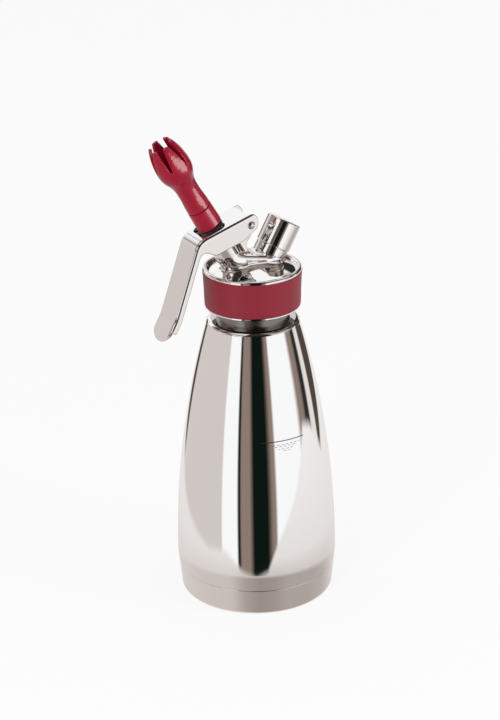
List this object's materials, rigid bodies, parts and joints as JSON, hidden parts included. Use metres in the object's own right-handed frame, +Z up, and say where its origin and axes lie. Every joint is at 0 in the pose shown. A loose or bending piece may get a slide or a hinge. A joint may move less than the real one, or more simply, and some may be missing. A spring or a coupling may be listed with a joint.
{
  "type": "whipped cream dispenser",
  "caption": "Insulated whipped cream dispenser: mirror-polished steel bottle, screw-on head with sprung lever valve, tulip decorating tip and capped charger port.",
  "frame": {"origin": "centre of the flat underside of the base cap", "axes": "+Z up along the bottle's axis; -X towards the lever and the nozzle, +X towards the charger port; the solid is symmetric about the XZ plane"},
  "size_m": [0.122, 0.105, 0.319],
  "materials": {
    "mirror_steel": "mirror polished stainless steel, satin towards the foot",
    "cast_chrome": "polished and chromed casting",
    "lever_steel": "polished pressed stainless steel",
    "inner_steel": "drawn stainless steel, satin inside",
    "turned_steel": "turned stainless steel",
    "spring_steel": "spring wire",
    "band_silicone": "satin dark red silicone",
    "grey_silicone": "food-grade silicone seals",
    "red_plastic": "glossy red moulding",
    "black_plastic": "black moulding",
    "port_brass": "turned, nickel flash"
  },
  "bodies": {
    "bottle": {"bottle_shell": "mirror_steel", "shell_bottom": "inner_steel", "base_cap": "mirror_steel", "getter_button": "turned_steel", "inner_vessel": "inner_steel", "neck_ring": "turned_steel"},
    "gasket": {"head_gasket": "grey_silicone"},
    "head": {"head_body": "cast_chrome", "grip_band": "band_silicone", "lever_pin": "turned_steel", "return_spring": "spring_steel", "check_valve": "grey_silicone", "port_insert": "port_brass", "piercing_pin": "turned_steel", "port_o_ring": "grey_silicone"},
    "lever_arm": {"lever": "lever_steel"},
    "valve": {"valve_stem": "turned_steel", "valve_seal": "grey_silicone", "stem_o_ring": "grey_silicone", "thrust_ring": "turned_steel", "stop_ring": "black_plastic"},
    "adapter": {"nozzle_adapter": "red_plastic"},
    "tip": {"tulip_tip": "red_plastic"},
    "washer": {"cap_washer": "grey_silicone"},
    "cap": {"port_cap": "cast_chrome"}
  },
  "joints": [
    {"name": "head_lift", "type": "slide", "parent": "bottle", "child": "gasket", "axis": [0, 0, 1], "range_m": [0, 0.09]},
    {"name": "head_turn", "type": "hinge", "parent": "gasket", "child": "head", "pos_m": [0, 0, 0.22], "axis": [0, 0, 1], "range_deg": [0, 540]},
    {"name": "lever_press", "type": "hinge", "parent": "head", "child": "lever_arm", "pos_m": [-0.0061, 0, 0.2565], "axis": [0, -1, 0], "range_deg": [0, 12], "stiffness_Nm_per_rad": 0.5, "springref_deg": -11.46},
    {"name": "valve_press", "type": "slide", "parent": "head", "child": "valve", "axis": [0.5, 0, -0.866], "range_m": [0, 0.00246], "deforming": ["return_spring"]},
    {"name": "adapter_turn", "type": "hinge", "parent": "valve", "child": "adapter", "pos_m": [-0.0302, 0, 0.2586], "axis": [-0.5, 0, 0.866], "continuous": true},
    {"name": "tip_pull", "type": "slide", "parent": "adapter", "child": "tip", "axis": [-0.5, 0, 0.866], "range_m": [0, 0.02]},
    {"name": "cap_turn", "type": "hinge", "parent": "head", "child": "washer", "pos_m": [0.01975, 0, 0.2438], "axis": [0.5, 0, 0.866], "continuous": true},
    {"name": "cap_pull", "type": "slide", "parent": "washer", "child": "cap", "axis": [0.5, 0, 0.866], "range_m": [0, 0.03]}
  ],
  "couplings": [
    {"joint": "valve_press", "follows": "lever_press", "m_per_rad": 0.0117}
  ]
}
